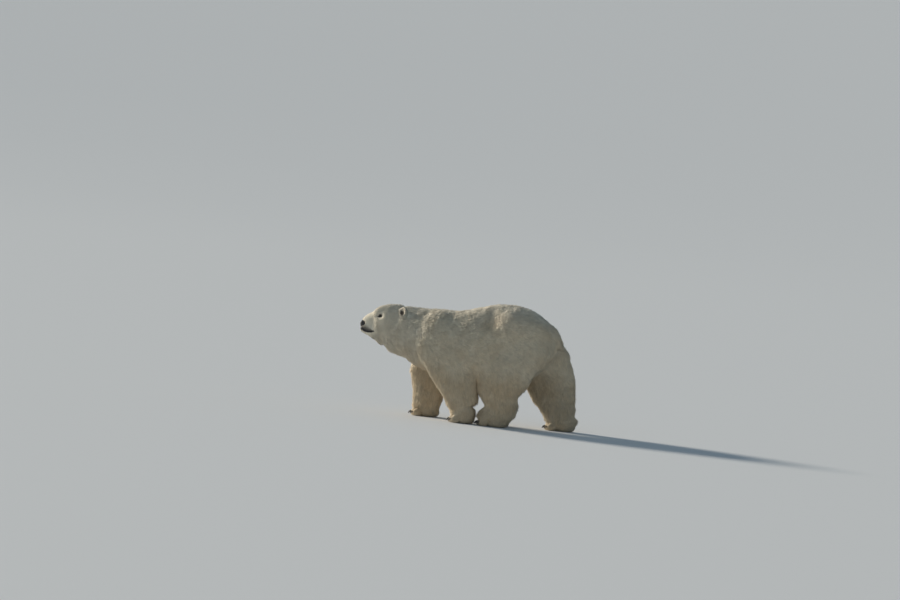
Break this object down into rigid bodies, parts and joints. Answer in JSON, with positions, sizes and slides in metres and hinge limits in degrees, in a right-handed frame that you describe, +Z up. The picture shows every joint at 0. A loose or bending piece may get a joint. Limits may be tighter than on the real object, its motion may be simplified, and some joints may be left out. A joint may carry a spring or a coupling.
{
  "type": "polar bear",
  "caption": "Life-size still model of an adult polar bear, walking with its head raised, standing on four flat soles.",
  "frame": {"origin": "middle of the bear's length and width, on the floor under its soles", "axes": "+Z up, +Y towards the tail (the bear faces -Y), +X to the bear's left"},
  "size_m": [0.6944, 2.2977, 1.2447],
  "materials": {
    "coat": "long matt cream-white fur",
    "dark_skin": "moist black nose pad, lips and eyelids",
    "eye": "glossy near-black eyeball",
    "claw_horn": "satin dark horn"
  },
  "bodies": {
    "root": {"head": "coat", "neck": "coat", "trunk": "coat", "tail": "coat", "foreleg_left": "coat", "foreleg_right": "coat", "hindleg_left": "coat", "hindleg_right": "coat", "forepaw_left": "coat", "forepaw_left_claw_1": "claw_horn", "forepaw_left_claw_2": "claw_horn", "forepaw_left_claw_3": "claw_horn", "forepaw_left_claw_4": "claw_horn", "forepaw_left_claw_5": "claw_horn", "forepaw_right": "coat", "forepaw_right_claw_1": "claw_horn", "forepaw_right_claw_2": "claw_horn", "forepaw_right_claw_3": "claw_horn", "forepaw_right_claw_4": "claw_horn", "forepaw_right_claw_5": "claw_horn", "hindpaw_left": "coat", "hindpaw_left_claw_1": "claw_horn", "hindpaw_left_claw_2": "claw_horn", "hindpaw_left_claw_3": "claw_horn", "hindpaw_left_claw_4": "claw_horn", "hindpaw_left_claw_5": "claw_horn", "hindpaw_right": "coat", "hindpaw_right_claw_1": "claw_horn", "hindpaw_right_claw_2": "claw_horn", "hindpaw_right_claw_3": "claw_horn", "hindpaw_right_claw_4": "claw_horn", "hindpaw_right_claw_5": "claw_horn", "ear_left": "coat", "eye_left": "eye", "ear_right": "coat", "eye_right": "eye", "nose": "dark_skin"}
  },
  "joints": []
}
